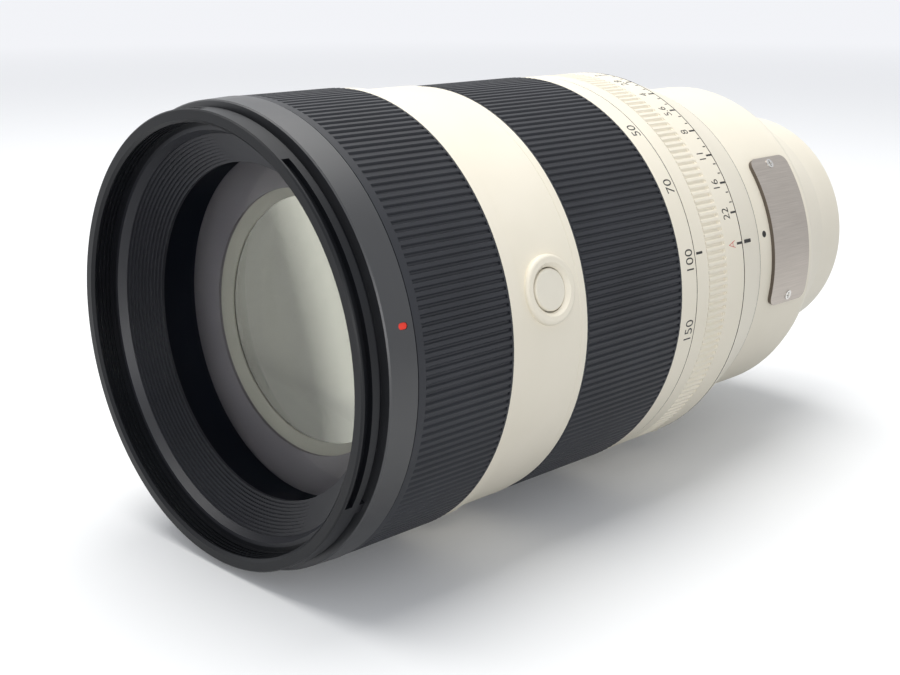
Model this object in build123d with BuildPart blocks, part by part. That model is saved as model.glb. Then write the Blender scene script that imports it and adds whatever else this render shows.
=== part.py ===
from build123d import *
from math import copysign, cos, radians, sin, sqrt
import os

os.makedirs("parts", exist_ok=True)

# Zoom lens lying on its side, in millimetres.
# The origin is on the optical axis in the plane of the mount flange.
# The optical axis is Y: the front faces -Y, the mount faces +Y, and +Z is up.
# A station is a distance behind the front rim, and an angle turns from +Z towards +X.

# Directions round the axis
top_angle = 76.6
left_angle = top_angle + 90
under_angle = top_angle + 180
right_angle = top_angle - 90

# Fits and gaps
parting = 0.3
running_fit = 0.08
loose = 0.3
relief = 0.5
land_length = 4.0
overrun = 1.0
same_size = 0.001

# Widths of the outer rings, from the front rim to the rear; with the gaps they add up to 200
neck_length = 4.4
hood_groove_width = 1.5
hood_ring_width = 6.9
focus_ring_width = 30.7
focus_flange_width = 3.8
focus_lip_width = 1.9
button_band_width = 18.05
zoom_ring_width = 42.5
zoom_flange_width = 2.25
zoom_scale_width = 5.95
index_ring_width = 4.7
aperture_ring_width = 14.45
knurl_width = 7.3
shoulder_width = 13.1
collar_width = 29.8
rear_barrel_width = 30.7
rear_barrel_setback = 0.8

# Radii of the outer rings, all tied to the filter thread
thread_minor_radius = 46.95
rim_wall = 2.85
hood_groove_depth = 1.3
hood_ring_rise = 1.4
hood_ring_flare = 0.3
focus_rib_rise = 1.6
focus_flange_drop = 0.25
band_rise = 0.6
zoom_rib_rise = 0.4
zoom_flange_drop = 0.1
zoom_scale_drop = 0.2
grip_thickness = 2.1
rib_depth = 0.45
ring_step = 0.05
knurl_depth = 0.5
shoulder_fall = 4.1
collar_step = 2.3
edge_break = 0.3
rim_radius = thread_minor_radius + rim_wall
hood_groove_radius = rim_radius - hood_groove_depth
hood_ring_front_radius = rim_radius + hood_ring_rise
hood_ring_rear_radius = hood_ring_front_radius + hood_ring_flare
focus_rib_radius = rim_radius + focus_rib_rise
focus_root_radius = focus_rib_radius - rib_depth
focus_flange_radius = focus_rib_radius - focus_flange_drop
focus_seat_radius = focus_rib_radius - grip_thickness
band_radius = rim_radius + band_rise
zoom_rib_radius = rim_radius + zoom_rib_rise
zoom_root_radius = zoom_rib_radius - rib_depth
zoom_flange_radius = zoom_rib_radius - zoom_flange_drop
zoom_seat_radius = zoom_rib_radius - grip_thickness
zoom_scale_radius = zoom_rib_radius - zoom_scale_drop
index_ring_radius = zoom_scale_radius - ring_step
aperture_ring_radius = index_ring_radius - ring_step
knurl_root_radius = aperture_ring_radius - knurl_depth
shoulder_front_radius = aperture_ring_radius
shoulder_rear_radius = shoulder_front_radius - shoulder_fall
collar_radius = shoulder_rear_radius - collar_step

# Ribs of the grips and ridges of the aperture ring
grip_rib_count = 186
knurl_count = 178
rib_top_share = 0.4
rib_foot_share = 0.8
grip_rim_width = 0.5
grip_rim_drop = 0.1
knurl_top_share = 0.36
knurl_foot_share = 0.86
knurl_end_width = 0.6

# Inner tubes
tube_drop = 4.8
tube_wall = 2.5
front_bore_step = 1.0
front_flange_rise = 0.9
rear_tube_step = 2.5
rear_tube_wall = 2.0
rear_tube_lip_depth = 10.5
rear_tube_lip_thickness = 2.2
tube_radius = rim_radius - tube_drop
tube_bore = tube_radius - tube_wall
front_bore = tube_bore + front_bore_step
front_flange_radius = tube_radius + front_flange_rise
rear_tube_radius = tube_bore - rear_tube_step
rear_tube_bore = rear_tube_radius - rear_tube_wall
rear_tube_lip_radius = rear_tube_bore - rear_tube_lip_depth

# Front thread and hood bayonet
thread_depth = 0.5
thread_pitch = 1.0
thread_groove = 0.6
thread_start = 1.1
thread_grooves = 4
thread_chamfer = 0.65
bayonet_count = 3
bayonet_arc = 88
bayonet_start_angle = 32
bayonet_groove_front = 0.7
bayonet_groove_width = 1.9
stop_arc = 3
stop_angle = 120
dot_station = 10.35
dot_length = 2.2
dot_width = 1.4
dot_depth = 0.5

# Ribbed baffle behind the thread
baffle_station = 5.6
baffle_rim_width = 0.9
baffle_shelf = 0.9
baffle_step_depth = 1.9
baffle_cone_width = 6.5
baffle_rib_count = 10
baffle_cone_depth = 5.4
baffle_lip_thickness = 0.7
baffle_rim_thickness = 3.7
baffle_fit = 0.2
baffle_step_radius = front_flange_radius - baffle_rim_width
baffle_outer_radius = baffle_step_radius - baffle_shelf
baffle_lip_radius = baffle_outer_radius - baffle_cone_width

# Front glass, its retaining ring and the second element
lip_overhang = 1.8
glass_gap = 0.1
front_glass_edge_station = 24.6
front_glass_edge_thickness = 5.4
front_glass_front_sag = 7.0
front_glass_rear_sag = 1.5
web_width = 13.9
web_thickness = 3.0
web_lip_thickness = 1.0
web_bevel_width = 2.6
web_bevel_depth = 2.0
second_glass_setback = 1.9
second_glass_overlap = 3.5
second_glass_edge_thickness = 7.0
second_glass_front_sag = -4.6
second_glass_rear_sag = -2.0
second_cell_wall = 2.0
glass_opening_radius = baffle_lip_radius + lip_overhang
front_glass_radius = front_bore - glass_gap
web_lip_radius = front_glass_radius - web_width
second_opening_radius = web_lip_radius - web_bevel_width
second_glass_radius = web_lip_radius + second_glass_overlap

# Focus hold buttons
button_station = 53.1
button_radius = 4.6
button_gap = 0.3
button_height = 2.3
button_sink = 0.4
button_edge = 0.5
bezel_width = 3.0
bezel_rise = 0.9
bezel_edge = 0.8
moat_edge = 0.9
well_depth = 3.8
bezel_radius = button_radius + bezel_width
bezel_top_radius = band_radius + bezel_rise
button_top_radius = bezel_top_radius - button_sink
well_floor_radius = band_radius - well_depth

# Zoom sleeve, its driving key and the zooming group
zoom_to_short = 38.0
zoom_to_long = 21.0
sleeve_wall = 2.0
sleeve_front_station = 48.0
sleeve_length = 73.0
key_station = 82.0
key_width = 6.0
key_arc = 8
key_height = 0.9
key_side_gap = 3
zoom_cell_station = 70.0
zoom_cell_length = 12.0
zoom_glass_inset = 8.5
zoom_glass_edge_thickness = 6.0
zoom_glass_front_sag = 3.0
zoom_glass_rear_sag = 2.0
rear_zoom_station = 104.0
rear_zoom_length = 10.0
rear_zoom_glass_inset = 13.5
rear_zoom_edge_thickness = 5.0
rear_zoom_front_sag = 2.5
rear_zoom_rear_sag = 1.5
cell_lip = 1.5
cell_lip_thickness = 1.0
zoom_glass_radius = tube_bore - zoom_glass_inset
rear_zoom_glass_radius = tube_bore - rear_zoom_glass_inset

# Iris
iris_station = 123.0
iris_plate_thickness = 1.2
drum_wall = 5.3
pivot_inset = 2.7
blade_count = 11
blade_thickness = 0.2
blade_pitch = 0.4
blade_front_gap = 0.2
blade_inset = 2.9
blade_width = 6.7
blade_cover = 0.3
blade_arc = 95
pivot_pin_radius = 0.8
pivot_fit = 0.06
blade_tab_radius = 2.2
drive_ring_thickness = 1.0
drive_ring_gap = 0.3
iris_cavity_radius = tube_bore - drum_wall
pivot_circle_radius = iris_cavity_radius - pivot_inset
blade_outer_radius = pivot_circle_radius - blade_inset
blade_inner_radius = blade_outer_radius - blade_width
iris_opening_radius = blade_inner_radius - blade_cover
drive_ring_inner_radius = blade_inner_radius + blade_cover

# Focusing group on its rods
rod_radius = 1.2
rod_inset = 6.5
rod_fit = 0.05
rod_seat = 1.5
focus_cell_station = 147.0
focus_cell_length = 8.0
focus_cell_inset = 3.5
focus_cell_wall = 11.5
focus_glass_edge_thickness = 3.0
focus_glass_front_sag = 1.5
focus_glass_rear_sag = 3.0
rod_circle_radius = rear_tube_bore - rod_inset
focus_cell_radius = rear_tube_bore - focus_cell_inset
focus_glass_radius = focus_cell_radius - focus_cell_wall

# Slide switches on the shoulder
panel_arc = 46
panel_front_margin = 1.6
panel_rear_margin = 1.8
panel_height = 0.7
panel_inset = 0.6
switch_width = 4.0
switch_arc = 6
switch_travel = 5
switch_side_gap = 0.6
switch_gap = 0.25
switch_floor_gap = 0.1
switch_height = 1.2
focus_mode_angle = left_angle - 3
range_angle = left_angle + 19
click_angle = right_angle - 14
lock_angle = right_angle - 34

# Tripod collar, its knob and its foot
collar_rear_round = 2.2
collar_front_round = 0.5
knob_angle = top_angle + 135
knob_radius = 8.0
knob_rise = 12.3
knob_stem_radius = 3.0
stem_fit = 0.05
stem_bottom_gap = 1.0
knob_gap = 0.4
knob_flutes = 10
knob_flute_radius = 1.3
knob_edge = 0.6
knob_boss_radius = 6.5
knob_boss_height = 3.0
foot_boss_height = 6.5
foot_neck_length = 18.0
foot_neck_width = 18.0
foot_sole_length = 60.0
foot_sole_width = 27.0
foot_sole_thickness = 8.0
foot_drop = 34.5
foot_sole_setback = 18.5
foot_corner = 4.0
foot_edge = 1.5
bush_radius = 6.0
bush_bore_radius = 2.6
bush_depth = 7.0
bush_setback = 6.0
knob_top_radius = collar_radius + knob_rise
stem_bottom_radius = rear_tube_radius + stem_bottom_gap
foot_distance = collar_radius + foot_drop

# Name plate and its screws
plate_thickness = 1.0
plate_setback = 8.4
plate_width = 16.4
plate_arc = 51.9
plate_corner = 2.6
screw_head_radius = 1.3
screw_shank_radius = 0.7
screw_head_depth = 0.6
screw_head_height = 0.15
screw_length = 2.0
screw_angle_inset = 2.6
screw_slot_width = 0.35
screw_slot_length = 1.7
screw_slot_depth = 0.3

# Camera mount
mount_plate_radius = 30.6
mount_plate_thickness = 1.6
mount_tube_radius = 22.9
mount_tube_wall = 1.7
mount_tube_rear = 5.4
mount_tube_front = 4.0
lug_count = 3
lug_radius = 24.5
lug_arc = 52
lug_front = 2.9
lug_thickness = 1.6
lug_angle = top_angle + 24
mount_screw_count = 4
mount_screw_inset = 4.0
mount_screw_head_radius = 1.8
mount_screw_shank_radius = 0.95
mount_screw_length = 4.5
mount_screw_hole_length = 5.0
mount_screw_turn = 45
mount_screw_head_depth = 0.9
mount_screw_head_sink = 0.1
lock_hole_radius = 1.6
seal_width = 1.2
seal_height = 0.6
seal_gap = 0.1
contact_count = 10
contact_pitch = 7.2
contact_radius = 0.75
contact_inset = 2.0
contact_height = 0.3
contact_seat = 1.2
block_depth = 3.9
block_arc = 84
block_rear = 4.4
rear_baffle_thickness = 1.5
rear_baffle_opening_width = 29.0
rear_baffle_opening_height = 21.0
rear_baffle_corner = 4.0
mount_tube_bore = mount_tube_radius - mount_tube_wall
mount_screw_circle = mount_plate_radius - mount_screw_inset
seal_radius = mount_plate_radius + seal_width
contact_circle = mount_tube_bore - contact_inset
block_inner_radius = mount_tube_bore - block_depth

# Rear barrel
rear_barrel_front_rise = 0.4
rear_barrel_waist_rise = 1.4
rear_barrel_end_rise = 1.9
rear_barrel_waist_share = 0.62
rear_spigot_length = 5.5
rear_spigot_wall = 2.5
rear_bore_step = 5.5
rear_flange_gap = 0.7
rear_flange_thickness = 6.0
rear_barrel_front_radius = rear_tube_bore + rear_barrel_front_rise
rear_barrel_end_radius = mount_plate_radius + rear_barrel_end_rise
rear_barrel_waist_radius = rear_barrel_end_radius + rear_barrel_waist_rise
rear_spigot_bore = rear_tube_bore - rear_spigot_wall
rear_bore = rear_spigot_bore - rear_bore_step
rear_flange_bore = mount_tube_radius + rear_flange_gap

# Rear glass and its cell
rear_cell_flange_thickness = 2.5
rear_cell_setback = 1.0
rear_cell_wall = 2.0
rear_cell_length = 14.0
rear_glass_inset = 15.5
rear_glass_edge_thickness = 5.0
rear_glass_front_sag = 2.0
rear_glass_rear_sag = 1.5
rear_glass_radius = rear_spigot_bore - rear_glass_inset

# Stations of the outer rings
hood_front = neck_length + hood_groove_width
hood_rear = hood_front + hood_ring_width
focus_front = hood_rear + parting
focus_rear = focus_front + focus_ring_width
band_front = focus_rear + parting
band_rear = band_front + button_band_width
zoom_front = band_rear + parting
zoom_rear = zoom_front + zoom_ring_width
index_front = zoom_rear + parting
index_rear = index_front + index_ring_width
aperture_front = index_rear + parting
aperture_rear = aperture_front + aperture_ring_width
shoulder_front = aperture_rear + parting
shoulder_rear = shoulder_front + shoulder_width
collar_front = shoulder_rear + parting
collar_rear = collar_front + collar_width
rear_barrel_front = collar_rear + parting
rear_barrel_rear = rear_barrel_front + rear_barrel_width
flange_distance = rear_barrel_rear + rear_barrel_setback
collar_middle = (collar_front + collar_rear) / 2


def axial(station):
    """Y of a station behind the front rim."""
    return station - flange_distance


def radial(angle):
    """Unit vector that points out from the optical axis at an angle."""
    return (sin(radians(angle)), 0, cos(radians(angle)))


def section_plane(angle):
    """Half plane through the axis: x is the radius and y is Y."""
    return Plane(origin=(0, 0, 0), x_dir=radial(angle), z_dir=(-cos(radians(angle)), 0, sin(radians(angle))))


def cross_plane(station, angle=0):
    """Plane across the axis that looks to the rear, with its x axis at an angle."""
    return Plane(origin=(0, axial(station), 0), x_dir=radial(angle), z_dir=(0, 1, 0))


def spoke_plane(station, angle, radius=0):
    """Plane that faces out from the axis, with its x axis to the rear."""
    out = radial(angle)
    origin = (radius * out[0], axial(station), radius * out[2])
    return Plane(origin=origin, x_dir=(0, 1, 0), z_dir=out)


def turned(points, mode=Mode.ADD, angle=0, arc=360):
    """Turn a closed outline of (radius, station) points round the axis."""
    with BuildSketch(section_plane(angle), mode=Mode.PRIVATE) as outline:
        with BuildLine():
            Polyline(*[(radius, axial(station)) for radius, station in points], close=True)
        make_face()
    revolve(outline.sketch, axis=Axis.Y, revolution_arc=arc, mode=mode)


def band(inner, outer, front, rear, mode=Mode.ADD, angle=0, arc=360):
    """A plain ring, or an arc of one."""
    turned([(inner, front), (outer, front), (outer, rear), (inner, rear)], mode, angle, arc)


def sphere_depth(radius, sag, distance):
    """How far a spherical cap of a given rim radius and sag has fallen at a distance from its axis."""
    ball = (radius ** 2 + sag ** 2) / (2 * sag)
    return ball - copysign(sqrt(ball ** 2 - distance ** 2), sag)


def glass(radius, station, edge, front_sag, rear_sag):
    """A lens element: a face with a positive sag bulges forward, and one with a negative sag to the rear."""
    half = radius / 2
    front_middle = station - front_sag + sphere_depth(radius, front_sag, half)
    rear_middle = station + edge - rear_sag + sphere_depth(radius, rear_sag, half)
    with BuildSketch(section_plane(0), mode=Mode.PRIVATE) as outline:
        with BuildLine():
            front_face = ThreePointArc(
                (0, axial(station - front_sag)), (half, axial(front_middle)), (radius, axial(station))
            )
            rim = Line(front_face @ 1, (radius, axial(station + edge)))
            rear_face = ThreePointArc(
                rim @ 1, (half, axial(rear_middle)), (0, axial(station + edge - rear_sag))
            )
            Line(rear_face @ 1, front_face @ 0)
        make_face()
    revolve(outline.sketch, axis=Axis.Y)


def toothed(count, root, tip, front, rear, top_share, foot_share):
    """A solid disc with straight ridges along the axis."""
    pitch = 360 / count
    half_foot = pitch * foot_share / 2
    half_top = pitch * top_share / 2
    corners = []
    for ridge in range(count):
        middle = top_angle + ridge * pitch
        for radius, turn in ((root, -half_foot), (tip, -half_top), (tip, half_top), (root, half_foot)):
            bearing = radians(middle + turn)
            corners.append((radius * cos(bearing), radius * sin(bearing)))
    with BuildSketch(cross_plane(front), mode=Mode.PRIVATE) as outline:
        with BuildLine():
            Polyline(*corners, close=True)
        make_face()
    extrude(outline.sketch, amount=rear - front)


def running_bore(front, rear):
    """Bore of a ring that turns on the main tube, on a land at each end."""
    land = tube_radius + running_fit
    turned(
        [
            (0, front - overrun),
            (land, front - overrun),
            (land, front + land_length),
            (land + relief, front + land_length),
            (land + relief, rear - land_length),
            (land, rear - land_length),
            (land, rear + overrun),
            (0, rear + overrun),
        ],
        Mode.SUBTRACT,
    )


def peg(station, angle, radius, bottom, top, mode=Mode.ADD):
    """A round peg or hole that points out from the axis, between two distances from it."""
    with BuildSketch(spoke_plane(station, angle, bottom), mode=Mode.PRIVATE) as outline:
        Circle(radius)
    extrude(outline.sketch, amount=top - bottom, mode=mode)


def circles_of(builder, radius):
    """The round edges of one radius."""
    rings = builder.edges().filter_by(GeomType.CIRCLE)
    return rings.filter_by(lambda ring: abs(ring.radius - radius) < same_size)


# Filter ring: front rim, filter thread and the hood bayonet behind the rim
with BuildPart() as filter_ring:
    turned(
        [
            (thread_minor_radius + thread_chamfer, 0),
            (rim_radius - edge_break, 0),
            (rim_radius, edge_break),
            (rim_radius, neck_length),
            (hood_groove_radius, neck_length),
            (hood_groove_radius, hood_rear - edge_break),
            (front_flange_radius, hood_rear - edge_break),
            (front_flange_radius, baffle_station),
            (thread_minor_radius, baffle_station),
            (thread_minor_radius, thread_chamfer),
        ]
    )
    for groove in range(thread_grooves):
        groove_front = thread_start + groove * thread_pitch
        band(
            thread_minor_radius - overrun,
            thread_minor_radius + thread_depth,
            groove_front,
            groove_front + thread_groove,
            Mode.SUBTRACT,
        )
    for lug in range(bayonet_count):
        band(
            hood_groove_radius,
            rim_radius + overrun,
            bayonet_groove_front,
            bayonet_groove_front + bayonet_groove_width,
            Mode.SUBTRACT,
            bayonet_start_angle + lug * 360 / bayonet_count,
            bayonet_arc,
        )
    band(
        hood_groove_radius - edge_break,
        rim_radius,
        neck_length - edge_break,
        hood_front,
        Mode.ADD,
        stop_angle,
        stop_arc,
    )
filter_ring.part.label = "filter_ring"
export_step(filter_ring.part, "parts/filter_ring.step")

# Smooth ring with the pocket of the red hood index
with BuildPart() as hood_ring:
    turned(
        [
            (hood_groove_radius, hood_front),
            (hood_ring_front_radius - edge_break, hood_front),
            (hood_ring_front_radius, hood_front + edge_break),
            (hood_ring_rear_radius, hood_rear),
            (hood_groove_radius, hood_rear),
        ]
    )
    with BuildSketch(spoke_plane(dot_station, top_angle, hood_ring_rear_radius - dot_depth)):
        SlotOverall(dot_length, dot_width)
    extrude(amount=dot_depth + overrun, mode=Mode.SUBTRACT)
hood_ring.part.label = "hood_ring"
export_step(hood_ring.part, "parts/hood_ring.step")

# Ribbed baffle: a stepped cone from the thread down to the lip in front of the glass
baffle_cone_front = baffle_station + baffle_step_depth
baffle_cone_rear = baffle_cone_front + baffle_cone_depth
baffle_rear = baffle_cone_rear + baffle_lip_thickness
rib_rise = (baffle_outer_radius - baffle_lip_radius) / baffle_rib_count
rib_run = baffle_cone_depth / baffle_rib_count
baffle_steps = []
for rib in range(baffle_rib_count):
    baffle_steps.append((baffle_outer_radius - rib * rib_rise, baffle_cone_front + rib * rib_run))
    baffle_steps.append((baffle_outer_radius - rib * rib_rise, baffle_cone_front + (rib + 1) * rib_run))
with BuildPart() as front_baffle:
    turned(
        [
            (front_flange_radius, baffle_station),
            (baffle_step_radius, baffle_station),
            *baffle_steps,
            (baffle_lip_radius, baffle_cone_rear),
            (baffle_lip_radius, baffle_rear),
            (front_bore - baffle_fit, baffle_rear),
            (front_bore - baffle_fit, baffle_station + baffle_rim_thickness),
            (front_flange_radius, baffle_station + baffle_rim_thickness),
        ]
    )
front_baffle.part.label = "front_baffle"
export_step(front_baffle.part, "parts/front_baffle.step")

# Retaining ring: the deep black wall between the lip and the front glass
opening_depth = sphere_depth(front_glass_radius, front_glass_front_sag, glass_opening_radius)
retainer_inner_rear = front_glass_edge_station - front_glass_front_sag + opening_depth - glass_gap
with BuildPart() as front_retainer:
    turned(
        [
            (glass_opening_radius, baffle_rear),
            (front_bore, baffle_rear),
            (front_bore, front_glass_edge_station - glass_gap),
            (front_glass_radius, front_glass_edge_station - glass_gap),
            (glass_opening_radius, retainer_inner_rear),
        ]
    )
front_retainer.part.label = "front_retainer"
export_step(front_retainer.part, "parts/front_retainer.step")

# Front glass
with BuildPart() as front_glass:
    glass(
        front_glass_radius,
        front_glass_edge_station,
        front_glass_edge_thickness,
        front_glass_front_sag,
        front_glass_rear_sag,
    )
front_glass.part.label = "front_glass"
export_step(front_glass.part, "parts/front_glass.step")

# Second glass, in its cell behind the front glass
web_front = front_glass_edge_station + front_glass_edge_thickness
second_glass_station = web_front + second_glass_setback
with BuildPart() as second_glass:
    glass(
        second_glass_radius,
        second_glass_station,
        second_glass_edge_thickness,
        second_glass_front_sag,
        second_glass_rear_sag,
    )
second_glass.part.label = "second_glass"
export_step(second_glass.part, "parts/second_glass.step")

# Main tube: carries the front group and every ring, with a slot for the zoom key
second_cell_radius = second_glass_radius + second_cell_wall
second_cell_rear = second_glass_station + second_glass_edge_thickness
second_opening_depth = sphere_depth(second_glass_radius, second_glass_front_sag, second_opening_radius)
second_seat_rear = second_glass_station - second_glass_front_sag + second_opening_depth - glass_gap
web_bevel_rear = web_front + web_lip_thickness + web_bevel_depth
key_angle = under_angle
slot_start = key_angle - key_arc / 2 - zoom_to_long - key_side_gap
slot_arc = key_arc + zoom_to_long + zoom_to_short + 2 * key_side_gap
with BuildPart() as main_tube:
    turned(
        [
            (front_bore, baffle_station + baffle_rim_thickness),
            (front_flange_radius, baffle_station + baffle_rim_thickness),
            (front_flange_radius, hood_rear - edge_break),
            (tube_radius, hood_rear - edge_break),
            (tube_radius, shoulder_rear),
            (tube_bore, shoulder_rear),
            (tube_bore, web_front + web_thickness),
            (second_cell_radius, web_front + web_thickness),
            (second_cell_radius, second_cell_rear),
            (second_glass_radius, second_cell_rear),
            (second_glass_radius, second_glass_station - glass_gap),
            (second_opening_radius, second_seat_rear),
            (second_opening_radius, web_bevel_rear),
            (web_lip_radius, web_front + web_lip_thickness),
            (web_lip_radius, web_front),
            (front_bore, web_front),
        ]
    )
    band(
        tube_bore - overrun,
        tube_radius + overrun,
        key_station - key_width / 2 - loose,
        key_station + key_width / 2 + loose,
        Mode.SUBTRACT,
        slot_start,
        slot_arc,
    )
main_tube.part.label = "main_tube"
export_step(main_tube.part, "parts/main_tube.step")

# Focus ring: sleeve with a seat for the rubber and a painted rear flange
grip_front = focus_front
grip_rear = focus_rear - focus_flange_width
with BuildPart() as focus_ring:
    turned(
        [
            (0, focus_front),
            (focus_seat_radius, focus_front),
            (focus_seat_radius, grip_rear),
            (focus_flange_radius, grip_rear),
            (focus_flange_radius, focus_rear - edge_break),
            (focus_flange_radius - edge_break, focus_rear),
            (0, focus_rear),
        ]
    )
    running_bore(focus_front, focus_rear)
focus_ring.part.label = "focus_ring"
export_step(focus_ring.part, "parts/focus_ring.step")


def ribbed(root, tip, front, rear):
    """The outside of a rubber grip: straight ribs that end against a low smooth rim at the rear."""
    toothed(grip_rib_count, root, tip, front, rear - grip_rim_width, rib_top_share, rib_foot_share)
    band(0, tip - grip_rim_drop, rear - grip_rim_width, rear)


# Rubber grip of the focus ring, with a smooth lip at its front
with BuildPart() as focus_grip:
    ribbed(focus_root_radius, focus_rib_radius, grip_front + focus_lip_width, grip_rear)
    band(0, focus_rib_radius, grip_front, grip_front + focus_lip_width)
    band(0, focus_seat_radius, grip_front - overrun, grip_rear + overrun, Mode.SUBTRACT)
focus_grip.part.label = "focus_grip"
export_step(focus_grip.part, "parts/focus_grip.step")

# Fixed band with three wells for the focus hold buttons
button_angles = {"top": top_angle, "left": left_angle, "under": under_angle}
with BuildPart() as button_band:
    band(tube_radius, band_radius, band_front, band_rear)
    for angle in button_angles.values():
        peg(button_station, angle, bezel_radius, well_floor_radius, bezel_top_radius)
    fillet(circles_of(button_band, bezel_radius), bezel_edge)
    for angle in button_angles.values():
        peg(
            button_station,
            angle,
            button_radius + button_gap,
            well_floor_radius,
            bezel_top_radius + overrun,
            Mode.SUBTRACT,
        )
        mouth = circles_of(button_band, button_radius + button_gap)
        chamfer(mouth.sort_by(Axis((0, 0, 0), radial(angle)))[-1], moat_edge)
button_band.part.label = "button_band"
export_step(button_band.part, "parts/button_band.step")

# Focus hold buttons
for side, angle in button_angles.items():
    with BuildPart() as hold_button:
        with BuildSketch(spoke_plane(button_station, angle, button_top_radius - button_height)):
            Circle(button_radius)
        extrude(amount=button_height)
        fillet(hold_button.edges().sort_by(Axis((0, 0, 0), radial(angle)))[-1], button_edge)
    hold_button.part.label = "focus_hold_button_" + side
    export_step(hold_button.part, "parts/focus_hold_button_" + side + ".step")

# Zoom ring: sleeve with a painted front flange and the painted scale band
zoom_grip_front = zoom_front + zoom_flange_width
zoom_grip_rear = zoom_rear - zoom_scale_width
with BuildPart() as zoom_ring:
    turned(
        [
            (0, zoom_front),
            (zoom_flange_radius - edge_break, zoom_front),
            (zoom_flange_radius, zoom_front + edge_break),
            (zoom_flange_radius, zoom_grip_front),
            (zoom_seat_radius, zoom_grip_front),
            (zoom_seat_radius, zoom_grip_rear),
            (zoom_scale_radius, zoom_grip_rear),
            (zoom_scale_radius, zoom_rear),
            (0, zoom_rear),
        ]
    )
    running_bore(zoom_front, zoom_rear)
zoom_ring.part.label = "zoom_ring"
export_step(zoom_ring.part, "parts/zoom_ring.step")

# Rubber grip of the zoom ring, with a low rim at each end
with BuildPart() as zoom_grip:
    ribbed(zoom_root_radius, zoom_rib_radius, zoom_grip_front + grip_rim_width, zoom_grip_rear)
    band(0, zoom_rib_radius - grip_rim_drop, zoom_grip_front, zoom_grip_front + grip_rim_width)
    band(0, zoom_seat_radius, zoom_grip_front - overrun, zoom_grip_rear + overrun, Mode.SUBTRACT)
zoom_grip.part.label = "zoom_grip"
export_step(zoom_grip.part, "parts/zoom_grip.step")

# Zoom sleeve: turns inside the main tube, driven by a key that goes through the slot to the zoom ring
sleeve_outer_radius = tube_bore - running_fit
sleeve_inner_radius = sleeve_outer_radius - sleeve_wall
sleeve_rear_station = sleeve_front_station + sleeve_length
with BuildPart() as zoom_sleeve:
    turned(
        [
            (sleeve_inner_radius, sleeve_front_station),
            (sleeve_outer_radius, sleeve_front_station),
            (sleeve_outer_radius, sleeve_front_station + land_length),
            (sleeve_outer_radius - relief, sleeve_front_station + land_length),
            (sleeve_outer_radius - relief, key_station - key_width),
            (sleeve_outer_radius, key_station - key_width),
            (sleeve_outer_radius, key_station + key_width),
            (sleeve_outer_radius - relief, key_station + key_width),
            (sleeve_outer_radius - relief, sleeve_rear_station - land_length),
            (sleeve_outer_radius, sleeve_rear_station - land_length),
            (sleeve_outer_radius, sleeve_rear_station),
            (sleeve_inner_radius, sleeve_rear_station),
        ]
    )
    band(
        sleeve_inner_radius,
        tube_radius + running_fit + relief,
        key_station - key_width / 2,
        key_station + key_width / 2,
        Mode.ADD,
        key_angle - key_arc / 2,
        key_arc,
    )
zoom_sleeve.part.label = "zoom_sleeve"
export_step(zoom_sleeve.part, "parts/zoom_sleeve.step")


def cell(outer, radius, station, length, edge):
    """A lens cell: the element drops in from the front against a lip at its rear."""
    seat_rear = station + length - cell_lip_thickness
    turned(
        [
            (radius, station),
            (outer, station),
            (outer, station + length),
            (radius - cell_lip, station + length),
            (radius - cell_lip, seat_rear),
            (radius, seat_rear),
        ]
    )


# Front zooming group
zoom_cell_radius = sleeve_inner_radius - running_fit
with BuildPart() as zoom_cell_front:
    cell(zoom_cell_radius, zoom_glass_radius, zoom_cell_station, zoom_cell_length, zoom_glass_edge_thickness)
zoom_cell_front.part.label = "zoom_cell_front"
export_step(zoom_cell_front.part, "parts/zoom_cell_front.step")

with BuildPart() as zoom_glass_front:
    glass(
        zoom_glass_radius,
        zoom_cell_station + zoom_cell_length - cell_lip_thickness - zoom_glass_edge_thickness,
        zoom_glass_edge_thickness,
        zoom_glass_front_sag,
        zoom_glass_rear_sag,
    )
zoom_glass_front.part.label = "zoom_glass_front"
export_step(zoom_glass_front.part, "parts/zoom_glass_front.step")

# Rear zooming group
with BuildPart() as zoom_cell_rear:
    cell(
        zoom_cell_radius,
        rear_zoom_glass_radius,
        rear_zoom_station,
        rear_zoom_length,
        rear_zoom_edge_thickness,
    )
zoom_cell_rear.part.label = "zoom_cell_rear"
export_step(zoom_cell_rear.part, "parts/zoom_cell_rear.step")

with BuildPart() as zoom_glass_rear:
    glass(
        rear_zoom_glass_radius,
        rear_zoom_station + rear_zoom_length - cell_lip_thickness - rear_zoom_edge_thickness,
        rear_zoom_edge_thickness,
        rear_zoom_front_sag,
        rear_zoom_rear_sag,
    )
zoom_glass_rear.part.label = "zoom_glass_rear"
export_step(zoom_glass_rear.part, "parts/zoom_glass_rear.step")

# Index ring between the zoom ring and the aperture ring
with BuildPart() as index_ring:
    band(tube_radius, index_ring_radius, index_front, index_rear)
index_ring.part.label = "index_ring"
export_step(index_ring.part, "parts/index_ring.step")


def knurl(root, front, rear):
    """The ridges of the aperture ring down to one depth."""
    toothed(knurl_count, root, aperture_ring_radius, front, rear, knurl_top_share, knurl_foot_share)


# Aperture ring: knurl in front, whose valleys run out over a step, and the digit band behind it
knurl_rear = aperture_front + knurl_width
valley_rear = knurl_rear - knurl_end_width
with BuildPart() as aperture_ring:
    band(0, aperture_ring_radius, knurl_rear, aperture_rear)
    knurl(knurl_root_radius, aperture_front, valley_rear)
    knurl(knurl_root_radius + knurl_depth / 2, valley_rear, knurl_rear)
    running_bore(aperture_front, aperture_rear)
aperture_ring.part.label = "aperture_ring"
export_step(aperture_ring.part, "parts/aperture_ring.step")


def taper_radius(station):
    """Outer radius of the shoulder at a station."""
    share = (station - shoulder_front) / shoulder_width
    return shoulder_front_radius + share * (shoulder_rear_radius - shoulder_front_radius)


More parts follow.
